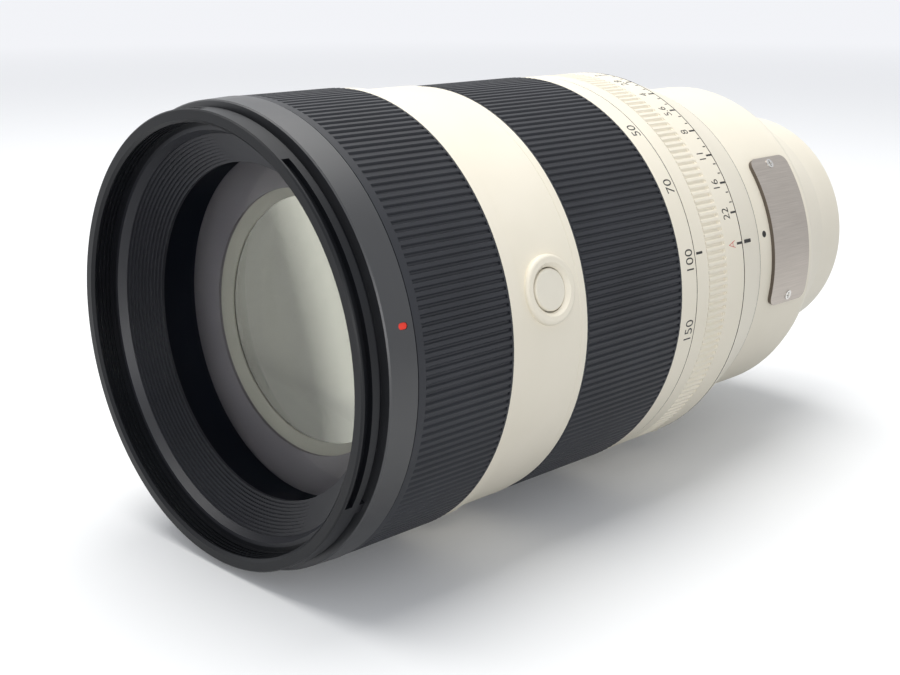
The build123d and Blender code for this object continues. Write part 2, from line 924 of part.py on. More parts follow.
def taper_slab(bottom, top, front, rear, angle, arc, mode=Mode.ADD):
    """An arc of a slab that follows the taper, between two heights over it."""
    turned(
        [
            (taper_radius(front) + bottom, front),
            (taper_radius(front) + top, front),
            (taper_radius(rear) + top, rear),
            (taper_radius(rear) + bottom, rear),
        ],
        mode,
        angle - arc / 2,
        arc,
    )


# Shoulder: the fixed taper with the pockets of the switch panels
panel_front = shoulder_front + panel_front_margin
panel_rear = shoulder_rear - panel_rear_margin
left_panel_angle = (focus_mode_angle + range_angle) / 2
right_panel_angle = (click_angle + lock_angle) / 2
with BuildPart() as shoulder_ring:
    turned(
        [
            (tube_radius, shoulder_front),
            (shoulder_front_radius, shoulder_front),
            (shoulder_rear_radius, shoulder_rear),
            (tube_radius, shoulder_rear),
        ]
    )
    for panel_angle in (left_panel_angle, right_panel_angle):
        taper_slab(-panel_inset, overrun, panel_front, panel_rear, panel_angle, panel_arc, Mode.SUBTRACT)
shoulder_ring.part.label = "shoulder_ring"
export_step(shoulder_ring.part, "parts/shoulder_ring.step")

# Two switch panels, each with the slots of two slide switches
switches = {
    "focus_mode_switch": focus_mode_angle,
    "focus_range_switch": range_angle,
    "iris_click_switch": click_angle,
    "iris_lock_switch": lock_angle,
}
switch_middle = (panel_front + panel_rear) / 2
switch_front = switch_middle - switch_width / 2
switch_rear = switch_middle + switch_width / 2
slot_shift = switch_travel / 2
with BuildPart() as switch_panels:
    for panel_angle in (left_panel_angle, right_panel_angle):
        taper_slab(-panel_inset, panel_height, panel_front, panel_rear, panel_angle, panel_arc)
    for switch_angle in switches.values():
        taper_slab(
            -panel_inset - overrun,
            panel_height + overrun,
            switch_front - switch_gap,
            switch_rear + switch_gap,
            switch_angle + slot_shift,
            switch_arc + switch_travel + 2 * switch_side_gap,
            Mode.SUBTRACT,
        )
switch_panels.part.label = "switch_panels"
export_step(switch_panels.part, "parts/switch_panels.step")

for name, switch_angle in switches.items():
    with BuildPart() as slide_switch:
        taper_slab(
            switch_floor_gap - panel_inset,
            panel_height + switch_height,
            switch_front,
            switch_rear,
            switch_angle,
            switch_arc,
        )
    slide_switch.part.label = name
    export_step(slide_switch.part, "parts/" + name + ".step")

# Iris housing: front plate with eleven pivot pins in a drum
stack_front = iris_station + iris_plate_thickness + blade_front_gap
stack_rear = stack_front + blade_count * blade_pitch
drive_ring_front = stack_rear + drive_ring_gap
iris_rear = drive_ring_front + drive_ring_thickness + drive_ring_gap
with BuildPart() as iris_housing:
    turned(
        [
            (iris_opening_radius, iris_station),
            (tube_bore, iris_station),
            (tube_bore, iris_rear),
            (iris_cavity_radius, iris_rear),
            (iris_cavity_radius, iris_station + iris_plate_thickness),
            (iris_opening_radius, iris_station + iris_plate_thickness),
        ]
    )
    with BuildSketch(cross_plane(iris_station + iris_plate_thickness / 2, top_angle)):
        with PolarLocations(pivot_circle_radius, blade_count):
            Circle(pivot_pin_radius)
    extrude(amount=stack_rear - iris_station - iris_plate_thickness / 2)
iris_housing.part.label = "iris_housing"
export_step(iris_housing.part, "parts/iris_housing.step")

# Iris blades, each on its own pin and one level behind the one before
blade_middle = (blade_inner_radius + blade_outer_radius) / 2
blade_half = (blade_outer_radius - blade_inner_radius) / 2
tip_x = blade_middle * cos(radians(blade_arc))
tip_y = blade_middle * sin(radians(blade_arc))
for blade in range(blade_count):
    blade_angle = top_angle + blade * 360 / blade_count
    with BuildPart() as iris_blade:
        with BuildSketch(cross_plane(stack_front + blade * blade_pitch, blade_angle)):
            with BuildLine():
                inner_arc = CenterArc((0, 0), blade_inner_radius, 0, blade_arc)
                outer_arc = CenterArc((0, 0), blade_outer_radius, 0, blade_arc)
                Line(inner_arc @ 0, outer_arc @ 0)
                Line(inner_arc @ 1, outer_arc @ 1)
            make_face()
            with Locations((blade_middle, 0), (tip_x, tip_y)):
                Circle(blade_half)
            with Locations((pivot_circle_radius, 0)):
                Circle(blade_tab_radius)
            with Locations(((pivot_circle_radius + blade_middle) / 2, 0)):
                Rectangle(pivot_circle_radius - blade_middle, 2 * blade_tab_radius)
            with Locations((pivot_circle_radius, 0)):
                Circle(pivot_pin_radius + pivot_fit, mode=Mode.SUBTRACT)
        extrude(amount=blade_thickness)
    iris_blade.part.label = "iris_blade_" + str(blade + 1)
    export_step(iris_blade.part, "parts/iris_blade_" + str(blade + 1) + ".step")

# Drive ring of the iris, in the drum behind the blades
with BuildPart() as iris_drive_ring:
    band(
        drive_ring_inner_radius,
        iris_cavity_radius - running_fit,
        drive_ring_front,
        drive_ring_front + drive_ring_thickness,
    )
iris_drive_ring.part.label = "iris_drive_ring"
export_step(iris_drive_ring.part, "parts/iris_drive_ring.step")

# Rear tube: goes into the main tube and carries the collar and the focusing rods
rear_tube_lip_rear = iris_rear + rear_tube_lip_thickness
rod_angles = (top_angle, under_angle)
with BuildPart() as rear_tube:
    turned(
        [
            (rear_tube_lip_radius, iris_rear),
            (tube_bore, iris_rear),
            (tube_bore, shoulder_rear),
            (rear_tube_radius, shoulder_rear),
            (rear_tube_radius, rear_barrel_front),
            (rear_tube_bore, rear_barrel_front),
            (rear_tube_bore, rear_tube_lip_rear),
            (rear_tube_lip_radius, rear_tube_lip_rear),
        ]
    )
    with BuildSketch(cross_plane(rear_tube_lip_rear - rod_seat, top_angle)):
        with PolarLocations(rod_circle_radius, len(rod_angles)):
            Circle(rod_radius)
    extrude(amount=rod_seat, mode=Mode.SUBTRACT)
rear_tube.part.label = "rear_tube"
export_step(rear_tube.part, "parts/rear_tube.step")

# Rear barrel: painted cone from the collar to the mount
spigot_front = rear_barrel_front - rear_spigot_length
rear_cell_front = rear_barrel_front + rear_cell_setback
rear_cell_seat = rear_cell_front + rear_cell_flange_thickness
waist_station = rear_barrel_front + rear_barrel_waist_share * (rear_barrel_rear - rear_barrel_front)
mount_plate_front = flange_distance - mount_plate_thickness
rear_flange_front = mount_plate_front - rear_flange_thickness
first_screw_angle = top_angle + mount_screw_turn
screw_angles = [first_screw_angle + index * 360 / mount_screw_count for index in range(mount_screw_count)]
with BuildPart() as rear_barrel:
    turned(
        [
            (rear_spigot_bore, spigot_front),
            (rear_tube_bore, spigot_front),
            (rear_tube_bore, rear_barrel_front),
            (rear_barrel_front_radius, rear_barrel_front),
            (rear_barrel_waist_radius, waist_station),
            (rear_barrel_end_radius, rear_barrel_rear),
            (mount_plate_radius, rear_barrel_rear),
            (mount_plate_radius, mount_plate_front),
            (rear_flange_bore, mount_plate_front),
            (rear_flange_bore, rear_flange_front),
            (rear_bore, rear_flange_front),
            (rear_bore, rear_cell_seat),
            (rear_spigot_bore, rear_cell_seat),
        ]
    )
    with BuildSketch(cross_plane(mount_plate_front, top_angle + mount_screw_turn)):
        with PolarLocations(mount_screw_circle, mount_screw_count):
            Circle(mount_screw_shank_radius)
    extrude(amount=-mount_screw_hole_length, mode=Mode.SUBTRACT)
rear_barrel.part.label = "rear_barrel"
export_step(rear_barrel.part, "parts/rear_barrel.step")

# Rear cell, its glass and the seats of the focusing rods
with BuildPart() as rear_cell:
    turned(
        [
            (rear_glass_radius, rear_cell_front),
            (rear_spigot_bore, rear_cell_front),
            (rear_spigot_bore, rear_cell_seat),
            (rear_glass_radius + rear_cell_wall, rear_cell_seat),
            (rear_glass_radius + rear_cell_wall, rear_cell_front + rear_cell_length),
            (rear_glass_radius - cell_lip, rear_cell_front + rear_cell_length),
            (rear_glass_radius - cell_lip, rear_cell_front + rear_cell_length - cell_lip_thickness),
            (rear_glass_radius, rear_cell_front + rear_cell_length - cell_lip_thickness),
        ]
    )
    with BuildSketch(cross_plane(rear_cell_front, top_angle)):
        with PolarLocations(rod_circle_radius, len(rod_angles)):
            Circle(rod_radius)
    extrude(amount=rod_seat, mode=Mode.SUBTRACT)
rear_cell.part.label = "rear_cell"
export_step(rear_cell.part, "parts/rear_cell.step")

with BuildPart() as rear_glass:
    glass(
        rear_glass_radius,
        rear_cell_front + rear_cell_length - cell_lip_thickness - rear_glass_edge_thickness,
        rear_glass_edge_thickness,
        rear_glass_front_sag,
        rear_glass_rear_sag,
    )
rear_glass.part.label = "rear_glass"
export_step(rear_glass.part, "parts/rear_glass.step")

# Two rods that guide the focusing group
rod_front = rear_tube_lip_rear - rod_seat
rod_rear = rear_cell_front + rod_seat
with BuildPart() as guide_rods:
    with BuildSketch(cross_plane(rod_front, top_angle)):
        with PolarLocations(rod_circle_radius, len(rod_angles)):
            Circle(rod_radius)
    extrude(amount=rod_rear - rod_front)
guide_rods.part.label = "guide_rods"
export_step(guide_rods.part, "parts/guide_rods.step")

# Focusing group
with BuildPart() as focus_cell:
    cell(
        focus_cell_radius,
        focus_glass_radius,
        focus_cell_station,
        focus_cell_length,
        focus_glass_edge_thickness,
    )
    with BuildSketch(cross_plane(focus_cell_station, top_angle)):
        with PolarLocations(rod_circle_radius, len(rod_angles)):
            Circle(rod_radius + rod_fit)
    extrude(amount=focus_cell_length, mode=Mode.SUBTRACT)
focus_cell.part.label = "focus_cell"
export_step(focus_cell.part, "parts/focus_cell.step")

with BuildPart() as focus_glass:
    glass(
        focus_glass_radius,
        focus_cell_station + focus_cell_length - cell_lip_thickness - focus_glass_edge_thickness,
        focus_glass_edge_thickness,
        focus_glass_front_sag,
        focus_glass_rear_sag,
    )
focus_glass.part.label = "focus_glass"
export_step(focus_glass.part, "parts/focus_glass.step")

# Tripod collar with the seat of the foot and the boss of the clamping knob
collar_bore = rear_tube_radius + running_fit
foot_seat_radius = collar_radius + foot_boss_height
knob_boss_top = collar_radius + knob_boss_height
plate_station = collar_front + plate_setback
plate_middle = plate_station + plate_width / 2
plate_half_arc = plate_arc / 2
plate_top = collar_radius + plate_thickness
plate_screw_angles = (
    top_angle - plate_half_arc + screw_angle_inset,
    top_angle + plate_half_arc - screw_angle_inset,
)
with BuildPart() as collar:
    turned(
        [
            (rear_tube_radius - overrun, collar_front),
            (collar_radius - collar_front_round, collar_front),
            (collar_radius, collar_front + collar_front_round),
            (collar_radius, collar_rear - collar_rear_round),
            (collar_radius - collar_rear_round / 4, collar_rear - collar_rear_round / 4),
            (collar_radius - collar_rear_round, collar_rear),
            (rear_tube_radius - overrun, collar_rear),
        ]
    )
    peg(collar_middle, knob_angle, knob_boss_radius, rear_tube_radius, knob_boss_top)
    with BuildSketch(spoke_plane(collar_middle, under_angle, rear_tube_radius)):
        Rectangle(foot_neck_length, foot_neck_width)
    extrude(amount=foot_seat_radius - rear_tube_radius)
    turned(
        [
            (0, collar_front - overrun),
            (collar_bore, collar_front - overrun),
            (collar_bore, collar_front + land_length),
            (collar_bore + relief, collar_front + land_length),
            (collar_bore + relief, collar_rear - land_length),
            (collar_bore, collar_rear - land_length),
            (collar_bore, collar_rear + overrun),
            (0, collar_rear + overrun),
        ],
        Mode.SUBTRACT,
    )
    peg(
        collar_middle,
        knob_angle,
        knob_stem_radius + stem_fit,
        rear_tube_radius,
        knob_boss_top + overrun,
        Mode.SUBTRACT,
    )
    for screw_angle in plate_screw_angles:
        peg(plate_middle, screw_angle, screw_shank_radius, rear_tube_radius, plate_top, Mode.SUBTRACT)
collar.part.label = "collar"
export_step(collar.part, "parts/collar.step")

# Name plate, left bare, and its two cross-head screws
with BuildPart() as name_plate:
    band(
        collar_radius,
        plate_top,
        plate_station,
        plate_station + plate_width,
        Mode.ADD,
        top_angle - plate_half_arc,
        plate_arc,
    )
    corners = name_plate.edges().filter_by(GeomType.LINE)
    fillet(corners.filter_by(lambda edge: edge.length < 2 * plate_thickness), plate_corner)
    for screw_angle in plate_screw_angles:
        peg(
            plate_middle,
            screw_angle,
            screw_head_radius,
            plate_top - screw_head_depth,
            plate_top + overrun,
            Mode.SUBTRACT,
        )
        peg(plate_middle, screw_angle, screw_shank_radius, rear_tube_radius, plate_top, Mode.SUBTRACT)
name_plate.part.label = "name_plate"
export_step(name_plate.part, "parts/name_plate.step")

with BuildPart() as plate_screws:
    for screw_angle in plate_screw_angles:
        head_bottom = plate_top - screw_head_depth
        head_top = plate_top + screw_head_height
        peg(plate_middle, screw_angle, screw_shank_radius, head_bottom - screw_length, head_bottom)
        peg(plate_middle, screw_angle, screw_head_radius, head_bottom, head_top)
        with BuildSketch(spoke_plane(plate_middle, screw_angle, head_top - screw_slot_depth)):
            Rectangle(screw_slot_length, screw_slot_width)
            Rectangle(screw_slot_width, screw_slot_length)
        extrude(amount=overrun, mode=Mode.SUBTRACT)
plate_screws.part.label = "plate_screws"
export_step(plate_screws.part, "parts/plate_screws.step")

# Tripod foot: neck under the collar and a long sole with room for the fingers above it
sole_inner = foot_distance - foot_sole_thickness
sole_middle = collar_middle + foot_sole_setback - foot_sole_length / 2
bush_station = sole_middle + bush_setback
out_of_foot = Axis((0, 0, 0), radial(under_angle))
with BuildPart() as tripod_foot:
    with BuildSketch(spoke_plane(sole_middle, under_angle, sole_inner)):
        RectangleRounded(foot_sole_length, foot_sole_width, foot_corner)
    extrude(amount=foot_sole_thickness)
    chamfer(tripod_foot.faces().sort_by(out_of_foot)[-1].edges(), foot_edge)
    with BuildSketch(spoke_plane(collar_middle, under_angle, foot_seat_radius)):
        Rectangle(foot_neck_length, foot_neck_width)
    extrude(amount=sole_inner - foot_seat_radius)
    bush_bottom = foot_distance - bush_depth
    peg(bush_station, under_angle, bush_radius, bush_bottom, foot_distance + overrun, Mode.SUBTRACT)
tripod_foot.part.label = "tripod_foot"
export_step(tripod_foot.part, "parts/tripod_foot.step")

with BuildPart() as tripod_bush:
    peg(bush_station, under_angle, bush_radius, foot_distance - bush_depth, foot_distance)
    peg(
        bush_station,
        under_angle,
        bush_bore_radius,
        foot_distance - bush_depth - overrun,
        foot_distance + overrun,
        Mode.SUBTRACT,
    )
tripod_bush.part.label = "tripod_bush"
export_step(tripod_bush.part, "parts/tripod_bush.step")

# Clamping knob of the collar
knob_bottom = knob_boss_top + knob_gap
out_of_knob = Axis((0, 0, 0), radial(knob_angle))
with BuildPart() as clamp_knob:
    with BuildSketch(spoke_plane(collar_middle, knob_angle, knob_bottom)):
        Circle(knob_radius)
        with PolarLocations(knob_radius, knob_flutes):
            Circle(knob_flute_radius, mode=Mode.SUBTRACT)
    extrude(amount=knob_top_radius - knob_bottom)
    chamfer(clamp_knob.faces().sort_by(out_of_knob)[-1].edges(), knob_edge)
    peg(collar_middle, knob_angle, knob_stem_radius, stem_bottom_radius, knob_bottom)
clamp_knob.part.label = "clamp_knob"
export_step(clamp_knob.part, "parts/clamp_knob.step")

# Mount flange: plate, tube and three bayonet lugs
flange_screw_turn = top_angle + mount_screw_turn
tube_front_station = flange_distance - mount_tube_front
tube_rear_station = flange_distance + mount_tube_rear
with BuildPart() as mount_flange:
    turned(
        [
            (mount_tube_bore, tube_front_station),
            (mount_tube_radius, tube_front_station),
            (mount_tube_radius, mount_plate_front),
            (mount_plate_radius, mount_plate_front),
            (mount_plate_radius, flange_distance),
            (mount_tube_radius, flange_distance),
            (mount_tube_radius, tube_rear_station),
            (mount_tube_bore, tube_rear_station),
        ]
    )
    for lug in range(lug_count):
        band(
            mount_tube_bore,
            lug_radius,
            flange_distance + lug_front,
            flange_distance + lug_front + lug_thickness,
            Mode.ADD,
            lug_angle + lug * 360 / lug_count,
            lug_arc,
        )
    with BuildSketch(cross_plane(mount_plate_front, flange_screw_turn)):
        with PolarLocations(mount_screw_circle, mount_screw_count):
            Circle(mount_screw_shank_radius)
    extrude(amount=mount_plate_thickness, mode=Mode.SUBTRACT)
    with BuildSketch(cross_plane(flange_distance, flange_screw_turn)):
        with PolarLocations(mount_screw_circle, mount_screw_count):
            Circle(mount_screw_head_radius)
    extrude(amount=-mount_screw_head_depth, mode=Mode.SUBTRACT)
    with BuildSketch(cross_plane(mount_plate_front, right_angle)):
        with Locations((mount_screw_circle, 0)):
            Circle(lock_hole_radius)
    extrude(amount=mount_plate_thickness, mode=Mode.SUBTRACT)
mount_flange.part.label = "mount_flange"
export_step(mount_flange.part, "parts/mount_flange.step")

with BuildPart() as mount_screws:
    with BuildSketch(cross_plane(flange_distance - mount_screw_head_depth, flange_screw_turn)):
        with PolarLocations(mount_screw_circle, mount_screw_count):
            Circle(mount_screw_head_radius)
    extrude(amount=mount_screw_head_depth - mount_screw_head_sink)
    with BuildSketch(cross_plane(flange_distance - mount_screw_head_depth, flange_screw_turn)):
        with PolarLocations(mount_screw_circle, mount_screw_count):
            Circle(mount_screw_shank_radius)
    extrude(amount=-mount_screw_length)
mount_screws.part.label = "mount_screws"
export_step(mount_screws.part, "parts/mount_screws.step")

# Rubber seal round the flange plate
with BuildPart() as mount_seal:
    band(mount_plate_radius + seal_gap, seal_radius, rear_barrel_rear, rear_barrel_rear + seal_height)
mount_seal.part.label = "mount_seal"
export_step(mount_seal.part, "parts/mount_seal.step")

# Contact block inside the mount tube and its ten pins
block_rear_station = flange_distance + block_rear
contact_angles = []
for contact in range(contact_count):
    contact_angles.append(under_angle + (contact - (contact_count - 1) / 2) * contact_pitch)
with BuildPart() as contact_block:
    band(
        block_inner_radius,
        mount_tube_bore,
        tube_front_station,
        block_rear_station,
        Mode.ADD,
        under_angle - block_arc / 2,
        block_arc,
    )
    for contact_angle in contact_angles:
        with BuildSketch(cross_plane(block_rear_station, contact_angle)):
            with Locations((contact_circle, 0)):
                Circle(contact_radius)
        extrude(amount=-contact_seat, mode=Mode.SUBTRACT)
contact_block.part.label = "contact_block"
export_step(contact_block.part, "parts/contact_block.step")

with BuildPart() as contact_pins:
    for contact_angle in contact_angles:
        with BuildSketch(cross_plane(block_rear_station - contact_seat, contact_angle)):
            with Locations((contact_circle, 0)):
                Circle(contact_radius)
        extrude(amount=contact_seat + contact_height)
contact_pins.part.label = "contact_pins"
export_step(contact_pins.part, "parts/contact_pins.step")

# Rear light baffle with its rectangular opening
with BuildPart() as rear_baffle:
    with BuildSketch(cross_plane(tube_front_station - rear_baffle_thickness, right_angle)):
        Circle(rear_flange_bore)
        RectangleRounded(
            rear_baffle_opening_width,
            rear_baffle_opening_height,
            rear_baffle_corner,
            mode=Mode.SUBTRACT,
        )
    extrude(amount=rear_baffle_thickness)
rear_baffle.part.label = "rear_baffle"
export_step(rear_baffle.part, "parts/rear_baffle.step")
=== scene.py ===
import math

import bmesh
import bpy
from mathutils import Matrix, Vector


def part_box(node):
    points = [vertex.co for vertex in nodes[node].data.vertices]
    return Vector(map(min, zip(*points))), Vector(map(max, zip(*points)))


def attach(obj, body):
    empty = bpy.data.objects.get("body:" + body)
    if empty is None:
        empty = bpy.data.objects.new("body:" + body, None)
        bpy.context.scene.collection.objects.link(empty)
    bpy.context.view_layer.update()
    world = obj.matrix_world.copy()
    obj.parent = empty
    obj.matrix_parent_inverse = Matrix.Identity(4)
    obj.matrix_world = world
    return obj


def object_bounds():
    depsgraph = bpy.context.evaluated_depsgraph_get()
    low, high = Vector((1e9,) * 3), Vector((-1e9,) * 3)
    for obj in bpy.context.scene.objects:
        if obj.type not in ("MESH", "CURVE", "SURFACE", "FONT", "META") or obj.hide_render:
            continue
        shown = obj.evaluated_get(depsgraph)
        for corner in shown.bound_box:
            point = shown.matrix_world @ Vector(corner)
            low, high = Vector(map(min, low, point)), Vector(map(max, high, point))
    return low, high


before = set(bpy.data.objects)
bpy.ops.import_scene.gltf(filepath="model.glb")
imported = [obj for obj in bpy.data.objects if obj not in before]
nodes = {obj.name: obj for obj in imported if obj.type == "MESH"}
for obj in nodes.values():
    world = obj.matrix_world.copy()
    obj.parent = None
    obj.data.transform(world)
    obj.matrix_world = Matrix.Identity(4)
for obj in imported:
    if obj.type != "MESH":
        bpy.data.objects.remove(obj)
cad_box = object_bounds()

# Units and the lens's own directions. A station is measured along the axis from the front rim to
# the rear, and an angle turns from +Z towards +X, as in the CAD.
MM = 0.001
front_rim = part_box("filter_ring")[0].y
top_angle = 76.6

# Camera of the photograph: where it stands, how it is turned, and its lens
camera_place = (0.237854, -0.360510, 0.080052)
camera_pitch = -15.5
camera_yaw = 45.70
camera_lens_mm = 55.32
camera_sensor_mm = 36.0


def linear(red, green, blue):
    """A colour as it is seen on screen, 0 to 255, as the linear colour that Blender takes."""
    shares = []
    for value in (red, green, blue):
        share = value / 255
        shares.append(share / 12.92 if share <= 0.04045 else ((share + 0.055) / 1.055) ** 2.4)
    return (*shares, 1.0)


def new_material(name):
    material = bpy.data.materials.new(name)
    material.use_nodes = True
    return material, material.node_tree, material.node_tree.nodes["Principled BSDF"]


# Sums and ramps in a material's nodes
def give(tree, value, entry):
    """Link a socket to an entry, or set the entry to a plain value."""
    if isinstance(value, bpy.types.NodeSocket):
        tree.links.new(value, entry)
    else:
        entry.default_value = value


def maths(tree, operation, first, second=0.0):
    """One sum on two grey values, each a socket or a plain number."""
    node = tree.nodes.new("ShaderNodeMath")
    node.operation = operation
    give(tree, first, node.inputs[0])
    give(tree, second, node.inputs[1])
    return node.outputs[0]


def vectors(tree, operation, first, second=None, scale=None):
    """One sum on two directions, each a socket or plain numbers."""
    node = tree.nodes.new("ShaderNodeVectorMath")
    node.operation = operation
    give(tree, first, node.inputs[0])
    if second is not None:
        give(tree, second, node.inputs[1])
    if scale is not None:
        give(tree, scale, node.inputs["Scale"])
    return node.outputs["Value" if operation in ("LENGTH", "DOT_PRODUCT") else "Vector"]


def blended(tree, share, first, second):
    """A colour between two colours, each a socket or a plain colour."""
    node = tree.nodes.new("ShaderNodeMix")
    node.data_type = "RGBA"
    tree.links.new(share, node.inputs["Factor"])
    give(tree, first, node.inputs["A"])
    give(tree, second, node.inputs["B"])
    return node.outputs["Result"]


def spread(tree, source, low, high, start=0.0, end=1.0):
    """A value between two, by a grey value."""
    span = tree.nodes.new("ShaderNodeMapRange")
    for key, value in (("From Min", start), ("From Max", end), ("To Min", low), ("To Max", high)):
        span.inputs[key].default_value = value
    tree.links.new(source, span.inputs["Value"])
    return span.outputs["Result"]


def ramp(tree, source, low, high, start=0.3, end=0.7):
    """Colours between two, by a grey value."""
    colours = tree.nodes.new("ShaderNodeValToRGB")
    for element, place, colour in zip(colours.color_ramp.elements, (start, end), (low, high)):
        element.position = place
        element.color = colour
    tree.links.new(source, colours.inputs["Fac"])
    return colours.outputs["Color"]


def coordinates(tree, kind="Object"):
    """The part's own coordinates, in metres from the origin, or with Normal its own directions."""
    return tree.nodes.new("ShaderNodeTexCoord").outputs[kind]


def along(tree, source):
    """The share of a place or direction that lies along the lens."""
    parts = tree.nodes.new("ShaderNodeSeparateXYZ")
    tree.links.new(source, parts.inputs[0])
    return parts.outputs["Y"]


def noise(tree, scale, detail=3.0, stretch=None):
    """Noise in the part's own coordinates; scale is in cycles per metre."""
    texture = tree.nodes.new("ShaderNodeTexNoise")
    texture.inputs["Scale"].default_value = scale
    texture.inputs["Detail"].default_value = detail
    source = coordinates(tree)
    if stretch:
        mapping = tree.nodes.new("ShaderNodeMapping")
        mapping.inputs["Scale"].default_value = stretch
        tree.links.new(source, mapping.inputs["Vector"])
        source = mapping.outputs["Vector"]
    tree.links.new(source, texture.inputs["Vector"])
    return texture.outputs["Fac"]


# Stage: camera, floor, lamps and world
def make_camera():
    camera = bpy.data.objects.new("camera", bpy.data.cameras.new("camera"))
    camera.location = camera_place
    camera.rotation_euler = (math.radians(90 + camera_pitch), 0, math.radians(camera_yaw))
    camera.data.lens = camera_lens_mm
    camera.data.sensor_width = camera_sensor_mm
    camera.data.clip_start = 0.01
    bpy.context.scene.collection.objects.link(camera)
    bpy.context.scene.camera = camera


def seen_rays(tree):
    """1 for rays from the camera or mirrored or refracted ones, 0 for the rays that light things."""
    path = tree.nodes.new("ShaderNodeLightPath").outputs
    seen = maths(tree, "MAXIMUM", path["Is Camera Ray"], path["Is Glossy Ray"])
    return maths(tree, "MAXIMUM", seen, path["Is Transmission Ray"])


def mixed(tree, share, first, second, output):
    """Give a material or world two shaders, mixed by a share."""
    mix = tree.nodes.new("ShaderNodeMixShader")
    tree.links.new(share, mix.inputs["Fac"])
    tree.links.new(first.outputs[0], mix.inputs[1])
    tree.links.new(second.outputs[0], mix.inputs[2])
    tree.links.new(mix.outputs[0], tree.nodes[output].inputs["Surface"])


def make_floor():
    bpy.ops.mesh.primitive_plane_add(size=floor_size, location=(0, 0, cad_box[0][2]))
    floor = bpy.context.object
    floor.name = "floor"
    material, tree, shader = new_material("floor")
    shader.inputs["Roughness"].default_value = 0.55
    shader.inputs["Specular IOR Level"].default_value = 0.15
    seen = seen_rays(tree)
    tree.links.new(blended(tree, seen, floor_bounce_colour, floor_colour), shader.inputs["Base Color"])
    glow = tree.nodes.new("ShaderNodeEmission")
    glow.inputs["Color"].default_value = floor_glow_colour
    distance = vectors(tree, "LENGTH", coordinates(tree))
    share = maths(tree, "MULTIPLY", seen, spread(tree, distance, *floor_glow_shares, *floor_glow_reach))
    mixed(tree, share, shader, glow, "Material Output")
    floor.data.materials.append(material)


def make_world():
    world = bpy.data.worlds.new("world")
    world.use_nodes = True
    tree = world.node_tree
    ambient = tree.nodes["Background"]
    ambient.inputs["Color"].default_value = world_colour
    ambient.inputs["Strength"].default_value = world_strength
    backdrop = tree.nodes.new("ShaderNodeBackground")
    backdrop.inputs["Color"].default_value = backdrop_colour
    mixed(tree, seen_rays(tree), ambient, backdrop, "World Output")
    bpy.context.scene.world = world


def lamp(name, place, target, size, power, colour=(1, 1, 1)):
    """A soft square lamp that points at a target."""
    data = bpy.data.lights.new(name, "AREA")
    data.shape = "SQUARE"
    data.size = size
    data.energy = power
    data.color = colour
    light = bpy.data.objects.new(name, data)
    light.location = place
    aim = Vector(target) - Vector(place)
    light.rotation_euler = aim.to_track_quat("-Z", "Y").to_euler()
    bpy.context.scene.collection.objects.link(light)


floor_size = 14.0
floor_colour = linear(247, 248, 249)
floor_bounce_colour = linear(170, 171, 172)
floor_glow_colour = linear(250, 251, 255)
floor_glow_shares = (0.05, 0.85)
floor_glow_reach = (0.16, 1.8)
world_colour = (0.93, 0.96, 1.0, 1.0)
world_strength = 0.52
backdrop_colour = linear(244, 246, 249)
bpy.context.scene.view_settings.view_transform = "Standard"
make_camera()
make_floor()
make_world()
lens_middle = (0, -0.1, 0)
lamp("overhead", (-0.2, -0.1, 0.9), lens_middle, 0.9, 10.3, (1.0, 0.985, 0.96))
lamp("side", (0.75, -0.72, 0.08), lens_middle, 0.5, 4.2)


# Materials
def bump(tree, source, shader, height):
    """Relief of a height in millimetres."""
    relief = tree.nodes.new("ShaderNodeBump")
    relief.inputs["Distance"].default_value = height * MM
    tree.links.new(source, relief.inputs["Height"])
    tree.links.new(relief.outputs["Normal"], shader.inputs["Normal"])


def along_normal(tree):
    """Which way a face looks along the lens: -1 to the front, 1 to the rear."""
    return along(tree, coordinates(tree, "Normal"))


def facing_along(tree):
    """How far a face looks along the lens: 0 for a barrel, 1 for the end of a ring."""
    return maths(tree, "ABSOLUTE", along_normal(tree))


def facing_out(tree):
    """How far a face looks straight out from the axis: 1 for a barrel, 0 for an edge."""
    flat = vectors(tree, "MULTIPLY", coordinates(tree), (1, 0, 1))
    spoke = vectors(tree, "NORMALIZE", flat)
    return vectors(tree, "DOT_PRODUCT", spoke, coordinates(tree, "Normal"))


def near(tree, station, reach):
    """1 within a reach of a station, both in millimetres, and 0 elsewhere."""
    here = maths(tree, "COMPARE", along(tree, coordinates(tree)), front_rim + station * MM)
    here.node.inputs[2].default_value = reach * MM
    return here


def behind(tree, station):
    """1 behind a station in millimetres, and 0 in front of it."""
    return maths(tree, "GREATER_THAN", along(tree, coordinates(tree)), front_rim + station * MM)


def coated(name, low, high, roughness, grain, height, metallic=0.0, specular=0.5, cloud=60.0):
    """A painted, moulded or anodised surface: clouds of colour, a spread of roughness, a fine grain."""
    material, tree, shader = new_material(name)
    tree.links.new(ramp(tree, noise(tree, cloud), low, high), shader.inputs["Base Color"])
    tree.links.new(spread(tree, noise(tree, cloud * 4), *roughness), shader.inputs["Roughness"])
    shader.inputs["Metallic"].default_value = metallic
    shader.inputs["Specular IOR Level"].default_value = specular
    bump(tree, noise(tree, grain, 2.0), shader, height)
    return material


def changed(tree, share, first, second):
    """One direction where the share is 0, another where it is 1."""
    step = vectors(tree, "SUBTRACT", second, first)
    return vectors(tree, "ADD", first, vectors(tree, "SCALE", step, scale=share))


